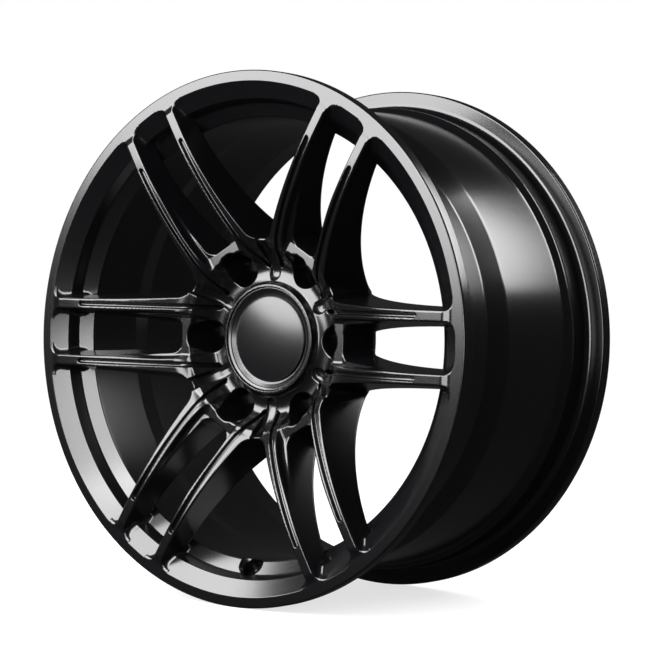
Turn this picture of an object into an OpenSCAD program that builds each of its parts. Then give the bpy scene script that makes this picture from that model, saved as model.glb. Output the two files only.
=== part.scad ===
// Forged one-piece wheel with six twin spokes and a clip-in centre cap.
// The axle lies along Y, the outboard face looks towards -Y, and the origin is the
// wheel's centre, midway between the two bead faces.

/* [Rim] */
// Diameter of the bead seat at the bead face (17 in nominal)
rim_d = 436.6; // [400:0.1:520]
// Width between the two bead faces (8.5 in nominal)
rim_w = 215.9; // [190:0.1:270]
// Height of the flange above the bead seat
flange_h = 17.3; // [14:0.1:21]
// Thickness of each flange
flange_t = 12.5; // [10:0.1:15]
// Wall of the barrel
barrel_wall = 4.5; // [3.5:0.1:7]
// Depth of the drop well below the bead seat
well_depth = 17.3; // [14:0.1:21]
// Flat width of the drop well's floor
well_w = 34; // [28:1:42]
// Radial width of the flat ring on the outboard flange
flange_ring = 9.6; // [7:0.1:12]
// Radial depth of the sloped lip inside that ring
lip_drop = 14.5; // [12:0.1:17]
// Diameter of the valve hole
valve_d = 11.3; // [8:0.1:16]
// Diameter of the valve hole's counterbore
valve_seat_d = 20; // [18:0.5:24]

/* [Spokes] */
// How far the spoke tops stand proud of the outboard flange
spoke_proud = 3; // [0:0.5:5]
// Length of the flat end of the spoke tops, in from the flange ring
crown_run = 26; // [16:1:40]
// Fall of a spoke's front edge from its flat end to the hub
front_drop = 25.3; // [18:0.1:32]
// Depth of a spoke at the rim
spoke_depth = 24.3; // [20:0.1:32]
// Height of a spoke's rear edge above the mounting face, at the hub
root_rise = 16.39; // [10:0.01:22]
// Half width of the window in a pair of spokes, at the spoke tops
window_half = 21.7; // [18:0.1:24]
// Half width of a whole pair of spokes, at the spoke tops
pair_half = 31; // [28:0.1:34]
// Draft angle of the window's side walls
window_draft = 10.5; // [6:0.5:12]
// Draft angle of a pair's outer walls
pair_draft = 8.7; // [4:0.1:10]
// Width of the groove along each spoke
groove_w = 4; // [2:0.1:6]
// Depth of the groove along each spoke
groove_h = 4; // [2:0.1:6]
// Distance in from the flange ring at which the grooves end
groove_stop = 38; // [30:1:60]
// Radius of the blend from a spoke into the flange
blend_r = 12; // [6:1:14]

/* [Hub] */
// Distance of the mounting face outboard of the wheel's centre line
wheel_offset = 25; // [10:1:32]
// Diameter of the centre bore that fits over the vehicle's hub
centre_bore_d = 106.2; // [96:0.1:108]
// Depth of the centre bore
centre_bore_h = 18; // [14:1:22]
// Depth of the clip fingers' room between the centre bore and the cap's bore
clip_room_h = 8; // [7:0.5:10]
// Diameter of the bolt circle
pcd = 139.7; // [137:0.1:150]
// Number of lug holes, one in each pair of spokes
lugs = 6; // [5:1:6]
// Diameter of a lug hole for the stud
lug_hole_d = 15; // [13:0.5:17]
// Diameter of the pocket for a lug nut and its socket
lug_pocket_d = 29; // [26:0.5:30]
// Height of a lug nut's seat above the mounting face, at its narrow end
lug_seat_h = 11; // [8:1:14]
// Metal between a lug pocket and the spokes' root
root_wall = 2.65; // [2:0.05:8]
// Distance in from the spokes' root at which the mounting face ends
pad_inset = 7; // [4:0.5:9]

/* [Centre cap] */
// Diameter of the round bore that the cap clips into
cap_bore_d = 84; // [78:0.5:86]
// Width of the ledge in the wheel that the cap's bezel seats on
cap_ledge = 4.5; // [3:0.1:6]
// Depth of that recess below the collar's top
cap_recess_h = 9; // [7:0.5:11]
// Width of the bezel round the domed face disc
bezel_width = 8.2; // [6:0.1:11]
// Rise of the disc's dome
cap_dome = 1.6; // [0.8:0.1:3]
// Wall of the collar round the cap
collar_wall = 4.5; // [3:0.1:6]
// Depth of the collar's top behind the outboard flange's face
collar_sunk = 40.45; // [34:0.05:48]
// Number of clip fingers
cap_fingers = 8; // [6:1:10]
// Diameter of the spring wire inside the fingers
wire_d = 2.2; // [1.6:0.1:3]
// Clearance between the cap and the wheel all round
cap_gap = 0.3; // [0.3:0.05:0.5]

/* [Hidden] */

FINE = 96;
pairs = 6;
pair_angle = 360 / pairs;
edge_cut = 1;
half_w = rim_w / 2;
face_w = half_w + flange_t;
bead_r = rim_d / 2;
flange_r = bead_r + flange_h;
well_r = bead_r - well_depth;
ring_r = flange_r - flange_ring;
lip_r = ring_r - lip_drop;
lip_h = 9.5;
corner_r = 1.5;
bead_seat = 20;
bead_taper = 5;
bead_toe = 6.5;
hump_h = 1.8;
hump_ramp = 4;
hump_flat = 3;
seat_end_r = bead_r - bead_seat * tan(bead_taper);
seat_end_w = half_w - bead_seat;
hump_r = seat_end_r + hump_h;
hump_end_w = seat_end_w - hump_ramp - hump_flat;
well_slope = 0.9;
inboard_step = 5;
barrel_rise = 8;
barrel_run = 22;
inner_r = well_r - barrel_wall;
lip_step = 3;
shoulder = 9;

mount_w = wheel_offset;
lug_r = pcd / 2;
lug_angle = 360 / lugs;
seat_angle = 30;
root_r = lug_r + lug_pocket_d / 2 + root_wall;
pad_r = root_r - pad_inset;

// Radius of a long curve that falls by drop over a length run, from level
function curve_for(run, drop) = (run^2 + drop^2) / (2 * drop);

top_w = face_w + spoke_proud;
proud_run = 8;
crown_end = ring_r - 12;
crown_u = ring_r - crown_run;
groove_end = ring_r - groove_stop;
front_curve = curve_for(crown_u - root_r, front_drop);
front_cw = top_w - front_curve;
rear_u = ring_r - 6;
rear_top_w = top_w - spoke_depth;
rear_curve = curve_for(rear_u - root_r, rear_top_w - mount_w - root_rise);
rear_cw = rear_top_w - rear_curve;
spoke_in = root_r - 7;
window_wall = 4;
window_depth = 33.45;

cap_bore_r = cap_bore_d / 2;
collar_wall_r = cap_bore_r + cap_ledge;
collar_r = collar_wall_r + collar_wall;
collar_w = face_w - collar_sunk;
cap_seat_w = collar_w - cap_recess_h;
centre_bore_top = mount_w + centre_bore_h;
web_w = centre_bore_top + clip_room_h;
clip_room_r = cap_bore_r + 4;

dish_floor = collar_w - 9;
dish_u = collar_r + 10;
dish_lip = 9.55;
dish_r = curve_for(root_r - dish_u, top_w - front_drop - dish_lip - dish_floor);
dish_w = dish_floor + dish_r;

// Points of an arc about [cx, cy], both ends included
function arc(cx, cy, r, a0, a1, n) =
    [for (i = [0:n]) let (a = a0 + (a1 - a0) * i / n) [cx + r * cos(a), cy + r * sin(a)]];

// Height of the spokes' front and rear curves at a distance u from the axle
function front_at(u) = front_cw + sqrt(front_curve^2 - (crown_u - u)^2);
function rear_at(u) = rear_cw + sqrt(rear_curve^2 - (rear_u - u)^2);

// Half widths of a pair and of its window at height w
function pair_at(w) = pair_half + (top_w - w) * tan(pair_draft);
function window_at(w) = window_half - (top_w - w) * tan(window_draft);

// Stands a shape drawn with the axle along Z, outboard up, into the wheel's own frame
module on_axle() {
    rotate([90, 0, 0]) children();
}

// Draws a side view (distance from the axle, height) as a slab across a pair of spokes
module across(width) {
    rotate([90, 0, 0]) linear_extrude(2 * width, center = true) children();
}

// Draws a cross-section (width, height) as a bar that runs outwards from the axle
module along(length) {
    rotate([90, 0, 90]) linear_extrude(length) children();
}

// Outline of one flange, bead seat and hump, down to a depth of drop below the bead seat
function tyre_side(drop) = [
    [flange_r - corner_r, face_w],
    [flange_r, face_w - corner_r],
    [flange_r, half_w + corner_r],
    [flange_r - corner_r, half_w],
    for (p = arc(bead_r + bead_toe, half_w - bead_toe, bead_toe, 90, 180, 5)) p,
    [seat_end_r, seat_end_w],
    [hump_r, seat_end_w - hump_ramp],
    [hump_r, hump_end_w],
    [bead_r - drop, hump_end_w - (drop + hump_r - bead_r) * well_slope]];

// Outline of the lip and shoulder inside the outboard flange, from the well outwards
lip_side = [
    [inner_r, seat_end_w],
    [inner_r + shoulder, half_w - shoulder - 2],
    [lip_r - lip_step, half_w - shoulder + 1],
    [lip_r, face_w - lip_h],
    [ring_r, face_w]];

// Lathe outline of the whole rim
module rim_outline() {
    outboard = tyre_side(well_depth);
    inboard = [for (p = tyre_side(inboard_step)) [p[0], -p[1]]];
    well_in = outboard[len(outboard) - 1][1] - well_w;
    flange_wall = barrel_wall + 1.5;
    polygon(concat(
        outboard,
        [[well_r, well_in], [well_r + barrel_rise, well_in - barrel_run]],
        [for (i = [len(inboard) - 1:-1:0]) inboard[i]],
        [[flange_r - flange_t, -face_w], [bead_r - barrel_wall, -half_w - 4],
            [bead_r - flange_wall, -half_w + bead_toe],
            [bead_r - inboard_step - barrel_wall, -seat_end_w + 2 * hump_ramp + hump_flat],
            [well_r + barrel_rise - barrel_wall, well_in - barrel_run - 2],
            [inner_r, well_in + 2]],
        lip_side));
}

// The space that the rim and everything outside it fills, for trimming the spokes
module rim_zone() {
    far = flange_r + 40;
    rotate_extrude($fn = FINE)
        polygon(concat([[far, face_w], [far, -half_w], [inner_r, -half_w]], lip_side));
}

// The valve hole points from the sloped wall inside the lip to the tyre side
valve_tilt = 45;
valve_u = inner_r + 5;
valve_w = seat_end_w + 5;
valve_land = 7;
valve_flat = 1.5;
valve_reach = 20;

// Distance along the valve hole from its start to the flat cut on the tyre side
valve_end = (hump_r - valve_u + (valve_w - hump_end_w) / well_slope) / (1 + 1 / well_slope)
    * sqrt(2) - valve_flat;

module valve_hole() {
    rotate([0, 0, -90]) translate([valve_u, 0, valve_w]) rotate([0, 180 - valve_tilt, 0]) {
        cylinder(d = valve_d, h = 4 * valve_reach, center = true, $fn = FINE);
        translate([0, 0, valve_end - valve_land - valve_reach])
            cylinder(d = valve_seat_d, h = valve_reach, $fn = FINE);
        translate([0, 0, valve_end]) cylinder(d = valve_d + 5, h = valve_reach, $fn = FINE);
    }
}

module rim_barrel() {
    color("#1a1a1c") on_axle() difference() {
        rotate_extrude($fn = FINE) rim_outline();
        valve_hole();
    }
}

// Side view of one pair of spokes
module spoke_side() {
    a0 = acos((spoke_in - crown_u) / front_curve);
    b0 = acos((spoke_in - rear_u) / rear_curve);
    polygon(concat(
        arc(crown_u, front_cw, front_curve, a0, 90, 10),
        [[crown_end, top_w], [crown_end + proud_run, face_w], [flange_r - 3, face_w],
            [flange_r - 3, top_w - spoke_depth]],
        arc(rear_u, rear_cw, rear_curve, 90, b0, 10)));
}

// Side view of the layer that the grooves cut out of the spokes' tops
module groove_side() {
    r = front_curve - groove_h;
    a0 = acos((spoke_in - crown_u) / r);
    polygon(concat(arc(crown_u, front_cw, r, a0, 90, 10), [[crown_u, top_w + 9], [spoke_in, top_w + 9]]));
}

// The window inside a pair, with its round end towards the hub
module pair_window() {
    low = mount_w;
    high = top_w + 9;
    end_u = root_r + window_wall + window_at(top_w - window_depth);
    translate([end_u, 0, 0]) along(flange_r - end_u)
        polygon([[-window_at(low), low], [window_at(low), low],
            [window_at(high), high], [-window_at(high), high]]);
    translate([end_u, 0, low]) cylinder(r1 = window_at(low), r2 = window_at(high), h = high - low, $fn = FINE);
}

// The two grooves of a pair, each with a round outer end
module pair_grooves() {
    mid = (pair_half + window_half) / 2;
    for (side = [-1, 1]) {
        translate([spoke_in - 9, side * mid - groove_w / 2, mount_w])
            cube([groove_end - groove_w / 2 - spoke_in + 9, groove_w, 2 * top_w]);
        translate([groove_end - groove_w / 2, side * mid, mount_w])
            cylinder(d = groove_w, h = 2 * top_w, $fn = 32);
    }
}

// Blends from the spokes' sides into the flange ring, whose ends lie just inside it
module flange_blends() {
    sunk = 2;
    inset = 0.2;
    for (side = [-1, 1], out = [-1, 1]) {
        v = out > 0 ? pair_half : window_half;
        edge = sqrt(ring_r^2 - (v + out * blend_r)^2) + inset;
        translate([edge, side * v, face_w - lip_h]) difference() {
            translate([-blend_r, side * out > 0 ? -sunk : -blend_r, 0])
                cube([blend_r + shoulder, blend_r + sunk, lip_h]);
            translate([-blend_r, side * out * blend_r, -1]) cylinder(r = blend_r, h = lip_h + 2, $fn = 64);
        }
    }
}

module spoke_pair(number) {
    low = mount_w;
    color("#1c1c1e") on_axle() rotate([0, 0, (number - 1) * pair_angle]) difference() {
        union() {
            intersection() {
                across(pair_at(low) + 9) spoke_side();
                along(flange_r) polygon([[-pair_at(low), low], [pair_at(low), low],
                    [pair_at(top_w + 9), top_w + 9], [-pair_at(top_w + 9), top_w + 9]]);
            }
            flange_blends();
        }
        pair_window();
        intersection() {
            pair_grooves();
            across(pair_half + 9) groove_side();
        }
        cylinder(r = root_r, h = 3 * top_w, center = true, $fn = FINE);
        rim_zone();
    }
}

module spoke_pair_1() { spoke_pair(1); }
module spoke_pair_2() { spoke_pair(2); }
module spoke_pair_3() { spoke_pair(3); }
module spoke_pair_4() { spoke_pair(4); }
module spoke_pair_5() { spoke_pair(5); }
module spoke_pair_6() { spoke_pair(6); }

// Lathe outline of the hub up to the dished face round the cap
module hub_outline() {
    bore_r = centre_bore_d / 2;
    dish_in = 180 + acos((dish_u - collar_r - 2) / dish_r);
    dish_out = 360 - acos((root_r - dish_u) / dish_r);
    polygon(concat(
        [[cap_bore_r, web_w], [cap_bore_r, cap_seat_w], [collar_wall_r, cap_seat_w],
            [collar_wall_r, collar_w - edge_cut], [collar_wall_r + edge_cut, collar_w],
            [collar_r - edge_cut, collar_w], [collar_r, collar_w - edge_cut]],
        arc(dish_u, dish_w, dish_r, dish_in, dish_out, 12),
        [[root_r, rear_at(root_r)], [pad_r, mount_w + 3], [pad_r - 3, mount_w],
            [bore_r + edge_cut, mount_w], [bore_r, mount_w + edge_cut],
            [bore_r, centre_bore_top], [clip_room_r, centre_bore_top], [clip_room_r, web_w]]));
}

// Lathe outline of the spokes' inner ends, which run down into the dish
finger_run = 31;
finger_low_w = mount_w + 20;

module finger_outline(drop = 0) {
    foot = root_r - finger_run;
    polygon([[foot, finger_low_w], [foot, dish_floor - drop], [foot + 4, dish_floor + 1 - drop],
        [foot + 8, dish_floor + 5 - drop], [foot + 14, dish_floor + 14 - drop],
        [foot + 20, front_at(spoke_in) - 4 - drop], [spoke_in, front_at(spoke_in) - drop],
        [root_r, front_at(root_r) - drop], [root_r, finger_low_w]]);
}

module hub_fingers() {
    inner = window_half - 2.2;
    outer = pair_at(front_at(root_r));
    intersection() {
        difference() {
            rotate_extrude($fn = FINE) finger_outline();
            intersection() {
                for (i = [0:pairs - 1]) rotate([0, 0, i * pair_angle]) pair_grooves();
                difference() {
                    cylinder(r = root_r + 1, h = 2 * top_w, $fn = FINE);
                    rotate_extrude($fn = FINE) finger_outline(groove_h);
                }
            }
        }
        for (i = [0:pairs - 1], side = [-1, 1]) rotate([0, 0, i * pair_angle])
            translate([root_r - finger_run - 6, side > 0 ? inner : -outer, finger_low_w])
                cube([finger_run + 20, outer - inner, top_w]);
    }
}

// A lug hole with its conical nut seat and the pocket for the socket
module lug_hole() {
    seat_w = mount_w + lug_seat_h;
    seat_rise = (lug_pocket_d - lug_hole_d) / 2 / tan(seat_angle);
    translate([lug_r, 0, mount_w - 5]) cylinder(d = lug_hole_d, h = lug_seat_h + 6, $fn = FINE);
    translate([lug_r, 0, seat_w]) cylinder(d1 = lug_hole_d, d2 = lug_pocket_d, h = seat_rise, $fn = FINE);
    translate([lug_r, 0, seat_w + seat_rise]) cylinder(d = lug_pocket_d, h = top_w, $fn = FINE);
}

module hub_centre() {
    color("#1c1c1e") on_axle() difference() {
        union() {
            rotate_extrude($fn = FINE) hub_outline();
            hub_fingers();
        }
        for (i = [0:lugs - 1]) rotate([0, 0, i * lug_angle]) lug_hole();
    }
}

bezel_r = collar_wall_r - cap_gap;
bezel_w = collar_w - 1.5;
skirt_r = cap_bore_r - cap_gap;
skirt_wall = 2.6;
floor_w = cap_seat_w + 2.2;
face_r = bezel_r - bezel_width;
bezel_top = 2.2;
bezel_fall = 3.4;
pad_h = 1;
face_h = 2;
barb_h = 6;
finger_tip_w = web_w - barb_h;
ring_seat_w = web_w - 2;
ring_seat_r = skirt_r - skirt_wall - wire_d / 2 + 0.8;
slit_w = 4;
slit_end = 5;

// Moulded cap: bezel, floor and a skirt that is slit into clip fingers
module cap_body() {
    color("#151516") on_axle() difference() {
        rotate_extrude($fn = FINE) polygon([
            [0, cap_seat_w], [skirt_r - skirt_wall, cap_seat_w], [skirt_r - skirt_wall, finger_tip_w],
            [skirt_r - 1.2, finger_tip_w], [skirt_r, finger_tip_w + 2], [skirt_r, web_w],
            [skirt_r - 0.6, web_w + 1.5], [skirt_r - 0.6, cap_seat_w], [bezel_r, cap_seat_w],
            [bezel_r, bezel_w - edge_cut], [bezel_r - edge_cut, bezel_w], [bezel_r - bezel_top, bezel_w],
            [face_r + 3, bezel_w - bezel_fall], [face_r + cap_gap, bezel_w - bezel_fall],
            [face_r + cap_gap, floor_w], [0, floor_w]]);
        rotate_extrude($fn = FINE) translate([ring_seat_r, ring_seat_w])
            circle(d = wire_d + 0.2, $fn = 32);
        for (i = [0:cap_fingers - 1]) rotate([0, 0, (i + 0.5) * 360 / cap_fingers])
            translate([cap_bore_r - 8, -slit_w / 2, finger_tip_w - 1])
                cube([12, slit_w, cap_seat_w - slit_end - finger_tip_w + 1]);
    }
}

// Domed disc that is bonded into the bezel
module cap_face() {
    base = floor_w + pad_h;
    dome_r = (face_r^2 + cap_dome^2) / (2 * cap_dome);
    a0 = acos((face_r - 0.6) / dome_r);
    color("#1d1d1f") on_axle() rotate_extrude($fn = FINE) polygon(concat(
        [[0, base], [face_r - 0.4, base], [face_r, base + 0.4], [face_r, base + face_h - 0.6]],
        arc(0, base + face_h + cap_dome - dome_r, dome_r, a0, 90, 8)));
}

// Foam adhesive pad between the disc and the cap's floor
module cap_pad() {
    color("#3a3a3a") on_axle() translate([0, 0, floor_w]) cylinder(r = face_r - 2, h = pad_h, $fn = FINE);
}

// Spring wire ring that holds the clip fingers outwards
module cap_spring_ring() {
    color("#9a9ca0") on_axle() rotate_extrude($fn = FINE)
        translate([ring_seat_r - 0.1, ring_seat_w]) circle(d = wire_d, $fn = 32);
}

rim_barrel();
hub_centre();
spoke_pair_1();
spoke_pair_2();
spoke_pair_3();
spoke_pair_4();
spoke_pair_5();
spoke_pair_6();
cap_body();
cap_face();
cap_pad();
cap_spring_ring();
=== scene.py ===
"""Looks of a forged one-piece wheel with six twin spokes and a clip-in centre cap.

The axle lies along Y and the outboard face looks towards -Y. In the shape code, u runs out from
the axle along the middle of a pair of spokes, v across that pair, and w is the height outboard
of the wheel's centre line, so w is -Y. Every length is in metres.
"""

import math

import bpy
import numpy as np
from mathutils import Matrix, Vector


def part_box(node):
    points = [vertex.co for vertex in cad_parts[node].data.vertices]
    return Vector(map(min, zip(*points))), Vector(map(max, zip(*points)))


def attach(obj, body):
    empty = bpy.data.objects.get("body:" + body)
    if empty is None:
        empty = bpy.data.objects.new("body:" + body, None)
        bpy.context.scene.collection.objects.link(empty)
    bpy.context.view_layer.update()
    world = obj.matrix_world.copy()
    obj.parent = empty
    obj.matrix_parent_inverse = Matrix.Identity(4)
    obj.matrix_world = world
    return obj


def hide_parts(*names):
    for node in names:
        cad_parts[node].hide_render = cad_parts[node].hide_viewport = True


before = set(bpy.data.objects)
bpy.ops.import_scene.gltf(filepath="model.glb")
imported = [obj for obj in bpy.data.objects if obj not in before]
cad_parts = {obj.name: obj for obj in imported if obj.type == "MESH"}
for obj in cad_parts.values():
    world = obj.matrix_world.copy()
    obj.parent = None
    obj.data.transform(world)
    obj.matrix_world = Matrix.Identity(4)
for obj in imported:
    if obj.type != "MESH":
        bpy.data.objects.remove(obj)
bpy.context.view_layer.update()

bl_info = {
    "name": "Forged Twin-Spoke Wheel",
    "version": (1, 0, 0),
    "blender": (4, 5, 0),
    "location": "3D View > Sidebar > Wheel",
    "description": "Models a forged one-piece wheel rim with its centre cap, and the studio round it",
    "category": "Object",
}

PAIRS = 6
SECTOR = math.tau / PAIRS
LATHE_STEPS = 384
GRID = 0.001
NO_MOVE = 1e-6

RIM_LOW, RIM_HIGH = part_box("rim_barrel")
FLANGE_RADIUS = RIM_HIGH.x
FACE_HEIGHT = -RIM_LOW.y
SPOKE_TOP = -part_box("spoke_pair_1")[0].y
MOUNT_HEIGHT = -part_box("hub_centre")[1].y


def length(name, description, default):
    """A size that a user can change, in metres."""
    return bpy.props.FloatProperty(
        name=name, description=description, default=default, unit="LENGTH", precision=5)


def angle(name, description, default):
    """An angle that a user can change, given here in degrees."""
    return bpy.props.FloatProperty(
        name=name, description=description, default=math.radians(default), unit="ROTATION")


def srgb(hex_colour):
    """Turns an sRGB hex colour into linear red, green and blue."""
    parts = [int(hex_colour[i:i + 2], 16) / 255 for i in (1, 3, 5)]
    return [p / 12.92 if p <= 0.04045 else ((p + 0.055) / 1.055) ** 2.4 for p in parts]


def colour(name, description, hex_colour):
    """A colour that a user can change."""
    return bpy.props.FloatVectorProperty(
        name=name, description=description, default=srgb(hex_colour), subtype="COLOR", min=0, max=1)


class WheelRimSizes(bpy.types.PropertyGroup):
    """Sizes of the rim that carries the tyre."""
    face_height: length("Face height", "Outboard face of the flange above the centre line", FACE_HEIGHT)
    flange_radius: length("Flange radius", "Outer radius of both flanges", FLANGE_RADIUS)
    flange_thickness: length("Flange thickness", "Thickness of each flange", 0.0125)
    flange_height: length("Flange height", "Flange above the bead seat", 0.0173)
    flange_ring: length("Flange ring", "Radial width of the flat ring on the outboard flange", 0.0096)
    lip_width: length("Lip width", "Radial width of the sloped lip inside that ring", 0.0145)
    lip_height: length("Lip height", "Height over which the lip slopes", 0.0095)
    well_depth: length("Well depth", "Drop well below the bead seat", 0.0173)
    wall: length("Wall", "Thickness of the barrel's wall", 0.0045)
    valve_diameter: length("Valve hole", "Diameter of the valve hole", 0.0113)
    valve_seat: length("Valve seat", "Diameter of the valve hole's counterbore", 0.020)


class WheelSpokeSizes(bpy.types.PropertyGroup):
    """Sizes of the six pairs of spokes."""
    top: length("Top", "Height of the spokes' crowns above the centre line", SPOKE_TOP)
    crown_radius: length("Crown radius", "Distance from the axle where the spokes' tops run flat", 0.200)
    front_curve: length("Front curve", "Radius of the long curve of the spokes' tops", 0.265)
    rear_curve: length("Rear curve", "Radius of the long curve of the spokes' rear edges", 0.182)
    rear_radius: length("Rear radius", "Distance from the axle of the rear curve's highest point", 0.220)
    depth: length("Depth", "Depth of a spoke at the rim", 0.0243)
    pair_half: length("Pair half width", "Half width of a pair at the spokes' crowns", 0.031)
    window_half: length("Window half width", "Half width of the window in a pair at the crowns", 0.0217)
    pair_draft: angle("Pair draft", "Draft of a pair's outer walls", 8.7)
    window_draft: angle("Window draft", "Draft of the window's walls", 10.5)
    window_end: length("Window end", "Distance of the window's inner end from the axle", 0.091)
    window_corner: length("Window corner", "Corner radius of the window's inner end", 0.0085)
    ledge_width: length("Ledge width", "Width of the ledge round the window's inner end", 0.0034)
    ledge_drop: length("Ledge drop", "Depth of that ledge below the spokes' tops", 0.0097)
    ledge_end: length("Ledge end", "Distance from the axle where the ledge has run out", 0.158)
    groove_width: length("Groove width", "Width of the groove along each spoke", 0.004)
    groove_depth: length("Groove depth", "Depth of the groove along each spoke", 0.004)
    groove_end: length("Groove end", "Distance from the axle where the grooves end", 0.188)
    blend: length("Blend", "Radius of the blend from a spoke down to the rim's lip", 0.004)
    corner: length("Corner", "Radius, seen from the front, of a spoke's corner at the flange ring", 0.009)
    edge: length("Edge", "Radius of the spokes' top edges", 0.0013)


class WheelHubSizes(bpy.types.PropertyGroup):
    """Sizes of the hub with its bores and pockets."""
    mount_height: length("Mount height", "Mounting face above the centre line", MOUNT_HEIGHT)
    pad_radius: length("Pad radius", "Radius of the mounting face", 0.080)
    flat_distance: length("Flat distance", "Distance of the hub's flats between two pairs", 0.0895)
    bore_radius: length("Bore radius", "Radius of the centre bore", 0.0531)
    bore_depth: length("Bore depth", "Depth of the centre bore", 0.018)
    clip_room: length("Clip room", "Depth of the clip fingers' room beyond the centre bore", 0.008)
    clip_relief: length("Clip relief", "Width of that room outside the cap's bore", 0.004)
    cap_bore_radius: length("Cap bore radius", "Radius of the bore that the cap clips into", 0.042)
    recess_radius: length("Recess radius", "Radius of the recess round the cap's bezel", 0.0465)
    recess_depth: length("Recess depth", "Depth of that recess below the collar", 0.009)
    collar_height: length("Collar height", "Top of the collar above the centre line", 0.080)
    collar_radius: length("Collar radius", "Outer radius of the collar", 0.0492)
    dish_radius: length("Dish radius", "Radius of the dish round the collar, seen in section", 0.0205)
    dish_distance: length("Dish distance", "Distance of the dish's lowest circle from the axle", 0.061)
    dish_floor: length("Dish floor", "Height of the dish's lowest circle above the centre line", 0.071)
    lug_circle: length("Bolt circle", "Radius of the bolt circle", 0.06985)
    lug_hole: length("Lug hole", "Radius of a lug hole", 0.0075)
    lug_pocket: length("Lug pocket", "Radius of the pocket for a lug nut", 0.0145)
    lug_seat: length("Lug seat", "Height of a nut's seat above the mounting face", 0.011)
    channel_curve: length("Channel curve", "Radius of the curve along a channel's floor", 0.028)
    channel_half: length("Channel half width", "Half width of the channel between two pairs", 0.0055)
    channel_start: length("Channel start", "Distance of the channel's inner end from the axle", 0.053)


class WheelCapSizes(bpy.types.PropertyGroup):
    """Sizes of the centre cap."""
    bezel_radius: length("Bezel radius", "Outer radius of the cap's bezel", 0.0462)
    bezel_height: length("Bezel height", "Top of the bezel above the centre line", 0.0785)
    seat_height: length("Seat height", "Underside of the bezel above the centre line", 0.071)
    face_radius: length("Face radius", "Radius of the domed face disc", 0.038)
    dome: length("Dome", "Rise of the disc's dome", 0.0016)
    skirt_radius: length("Skirt radius", "Outer radius of the clip fingers", 0.0417)
    finger_tip: length("Finger tip", "Height of the clip fingers' tips above the centre line", 0.045)
    fingers: bpy.props.IntProperty(name="Fingers", description="Number of clip fingers", default=8, min=3)


class WheelColours(bpy.types.PropertyGroup):
    """Colours of the finishes and of the studio."""
    paint: colour("Paint", "Satin black paint on the wheel", "#050506")
    cap_paint: colour("Cap paint", "Satin black paint on the cap's disc", "#060607")
    moulding: colour("Moulding", "Black moulded plastic of the cap's body", "#0a0a0b")
    foam: colour("Foam", "Grey foam tape under the cap's disc", "#3a3a3a")
    spring: colour("Spring", "Spring steel of the wire ring", "#9a9ca0")
    floor: colour("Floor", "Pale studio floor", "#959595")


# ---------------------------------------------------------------- shapes in section

def smooth_step(t):
    """Rises from 0 to 1 with level ends as t goes from 0 to 1."""
    t = np.clip(t, 0, 1)
    return t * t * (3 - 2 * t)


def round_max(a, b, radius):
    """What two solids share, with a convex edge of that radius."""
    return np.minimum(np.maximum(a, b), -radius) + np.hypot(
        np.maximum(a + radius, 0), np.maximum(b + radius, 0))


def round_min(a, b, radius):
    """Two solids joined by a concave blend of that radius."""
    return -round_max(-a, -b, radius)


def rounded_outline(corners, turn=math.radians(9)):
    """Points of an outline whose corners, each (distance, height, radius), are cut to arcs."""
    points = []
    count = len(corners)
    for i, (x, y, radius) in enumerate(corners):
        here = np.array([x, y])
        back = np.array(corners[i - 1][:2]) - here
        ahead = np.array(corners[(i + 1) % count][:2]) - here
        back_length, ahead_length = np.linalg.norm(back), np.linalg.norm(ahead)
        back, ahead = back / back_length, ahead / ahead_length
        half = math.acos(float(np.clip(back @ ahead, -1, 1))) / 2
        if radius <= 0 or half > math.radians(89.5):
            points.append(here)
            continue
        reach = min(radius / math.tan(half), 0.49 * back_length, 0.49 * ahead_length)
        radius = reach * math.tan(half)
        middle = here + (back + ahead) / np.linalg.norm(back + ahead) * radius / math.sin(half)
        start, end = here + back * reach - middle, here + ahead * reach - middle
        sweep = math.atan2(start[0] * end[1] - start[1] * end[0], start @ end)
        steps = max(2, math.ceil(abs(sweep) / turn))
        for k in range(steps + 1):
            c, s = math.cos(sweep * k / steps), math.sin(sweep * k / steps)
            points.append(middle + np.array([start[0] * c - start[1] * s, start[0] * s + start[1] * c]))
    return np.array(points)


def outline_distance(points, x, y):
    """Signed distance of (x, y) from a closed outline, negative inside it."""
    nearest = np.full(x.shape, np.inf)
    inside = np.zeros(x.shape, bool)
    for (ax, ay), (bx, by) in zip(points, np.roll(points, -1, axis=0)):
        ex, ey = bx - ax, by - ay
        t = np.clip(((x - ax) * ex + (y - ay) * ey) / (ex * ex + ey * ey), 0, 1)
        nearest = np.minimum(nearest, (x - ax - t * ex) ** 2 + (y - ay - t * ey) ** 2)
        if ay != by:
            inside ^= ((ay > y) != (by > y)) & (x < ax + (y - ay) * ex / ey)
    return np.where(inside, -1, 1) * np.sqrt(nearest)


def lip_corners(s):
    """Corners inside the outboard flange, from the ring's inner edge down to the well."""
    ring = s.flange_radius - s.flange_ring
    lip = ring - s.lip_width
    bead = s.flange_radius - s.flange_height
    inner = bead - s.well_depth - s.wall
    lip_low = s.face_height - s.lip_height
    return [
        (ring, s.face_height, 0.0013),
        (lip, lip_low, 0.0016),
        (lip - 0.003, lip_low - 0.011, 0.0025),
        (inner, s.face_height - 0.0283, 0.002),
        (inner, s.face_height - 0.0872, 0.008),
        (inner + 0.008, s.face_height - 0.1132, 0.010),
    ]


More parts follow.
